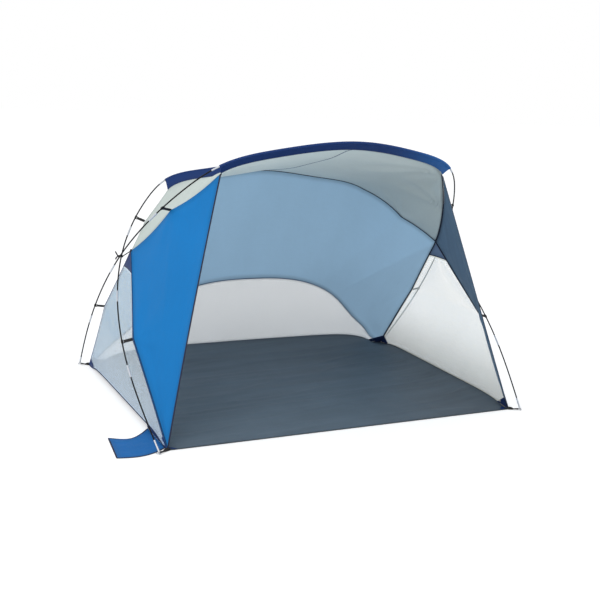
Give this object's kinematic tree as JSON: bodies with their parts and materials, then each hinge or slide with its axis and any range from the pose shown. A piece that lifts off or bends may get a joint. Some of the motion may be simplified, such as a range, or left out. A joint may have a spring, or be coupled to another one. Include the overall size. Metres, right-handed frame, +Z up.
{
  "type": "beach tent",
  "caption": "Open-fronted beach shelter: crossed arch poles hold a cloth shell with mesh windows, a floor and a sand pocket.",
  "frame": {"origin": "middle of the floor's underside, on the ground", "axes": "+Z up, +Y from the open front to the rear wall, +X to the right as seen from the open front"},
  "size_m": [2.7066, 1.8473, 1.6824],
  "materials": {
    "blue_cloth": "plain-woven coated polyester, satin",
    "navy_cloth": "plain-woven coated polyester, satin",
    "silver_cloth": "plain-woven polyester with a silver coating",
    "floor_cloth": "heavy coated groundsheet cloth, satin",
    "white_net": "fine woven mesh",
    "tab_webbing": "black woven webbing",
    "tie_tape": "black woven tape",
    "hook_plastic": "black moulded hook on black webbing",
    "fibreglass_pole": "black fibreglass rod with pale steel ferrules",
    "steel": "bright drawn steel",
    "elastic_cord": "covered elastic cord"
  },
  "bodies": {
    "root": {"corner_tab_front_left": "tab_webbing", "corner_tab_front_right": "tab_webbing", "corner_tab_rear_left": "tab_webbing", "corner_tab_rear_right": "tab_webbing", "cross_tie_left": "tie_tape", "cross_tie_right": "tie_tape", "floor_panel": "floor_cloth", "front_pole_elastic_cord": "elastic_cord", "front_pole_section_01": "fibreglass_pole", "front_pole_section_02": "fibreglass_pole", "front_pole_section_03": "fibreglass_pole", "front_pole_section_04": "fibreglass_pole", "front_pole_section_05": "fibreglass_pole", "front_pole_section_06": "fibreglass_pole", "front_pole_section_07": "fibreglass_pole", "front_pole_section_08": "fibreglass_pole", "front_pole_section_09": "fibreglass_pole", "front_pole_section_10": "fibreglass_pole", "front_pole_section_11": "fibreglass_pole", "front_sleeve": "navy_cloth", "hook_strap_lower_front_left": "hook_plastic", "hook_strap_lower_front_right": "hook_plastic", "hook_strap_lower_rear_left": "hook_plastic", "hook_strap_lower_rear_right": "hook_plastic", "hook_strap_upper_front_left": "hook_plastic", "hook_strap_upper_front_right": "hook_plastic", "hook_strap_upper_rear_left": "hook_plastic", "hook_strap_upper_rear_right": "hook_plastic", "pin_front_left": "steel", "pin_front_right": "steel", "pin_rear_left": "steel", "pin_rear_right": "steel", "rear_pole_elastic_cord": "elastic_cord", "rear_pole_section_01": "fibreglass_pole", "rear_pole_section_02": "fibreglass_pole", "rear_pole_section_03": "fibreglass_pole", "rear_pole_section_04": "fibreglass_pole", "rear_pole_section_05": "fibreglass_pole", "rear_pole_section_06": "fibreglass_pole", "rear_pole_section_07": "fibreglass_pole", "rear_pole_section_08": "fibreglass_pole", "rear_pole_section_09": "fibreglass_pole", "rear_pole_section_10": "fibreglass_pole", "rear_pole_section_11": "fibreglass_pole", "rear_sleeve": "navy_cloth", "rear_wall": "blue_cloth", "rear_window": "white_net", "roof_panel": "silver_cloth", "side_window_left": "white_net", "side_window_right": "white_net", "side_wing_left": "blue_cloth", "side_wing_right": "blue_cloth", "window_gusset_left": "navy_cloth", "window_gusset_right": "navy_cloth"},
    "ring_front_left": {"ring_front_left": "steel"},
    "ring_front_right": {"ring_front_right": "steel"},
    "ring_rear_left": {"ring_rear_left": "steel"},
    "ring_rear_right": {"ring_rear_right": "steel"},
    "sand_pocket": {"sand_pocket": "blue_cloth"}
  },
  "joints": [
    {"name": "ring_front_left_turn", "type": "hinge", "parent": "root", "child": "ring_front_left", "pos_m": [-1.20466, -0.90309, 0.0071], "axis": [0, 0, 1], "continuous": true},
    {"name": "ring_front_right_turn", "type": "hinge", "parent": "root", "child": "ring_front_right", "pos_m": [1.20466, -0.90309, 0.0071], "axis": [0, 0, 1], "continuous": true},
    {"name": "ring_rear_left_turn", "type": "hinge", "parent": "root", "child": "ring_rear_left", "pos_m": [-1.23611, 0.9042, 0.0071], "axis": [0, 0, 1], "continuous": true},
    {"name": "ring_rear_right_turn", "type": "hinge", "parent": "root", "child": "ring_rear_right", "pos_m": [1.23611, 0.9042, 0.0071], "axis": [0, 0, 1], "continuous": true},
    {"name": "sand_pocket_lift", "type": "hinge", "parent": "root", "child": "sand_pocket", "pos_m": [-1.1458, -0.8249, 0.005], "axis": [-0.0201, 0.9998, 0], "range_deg": [0, 22]}
  ]
}
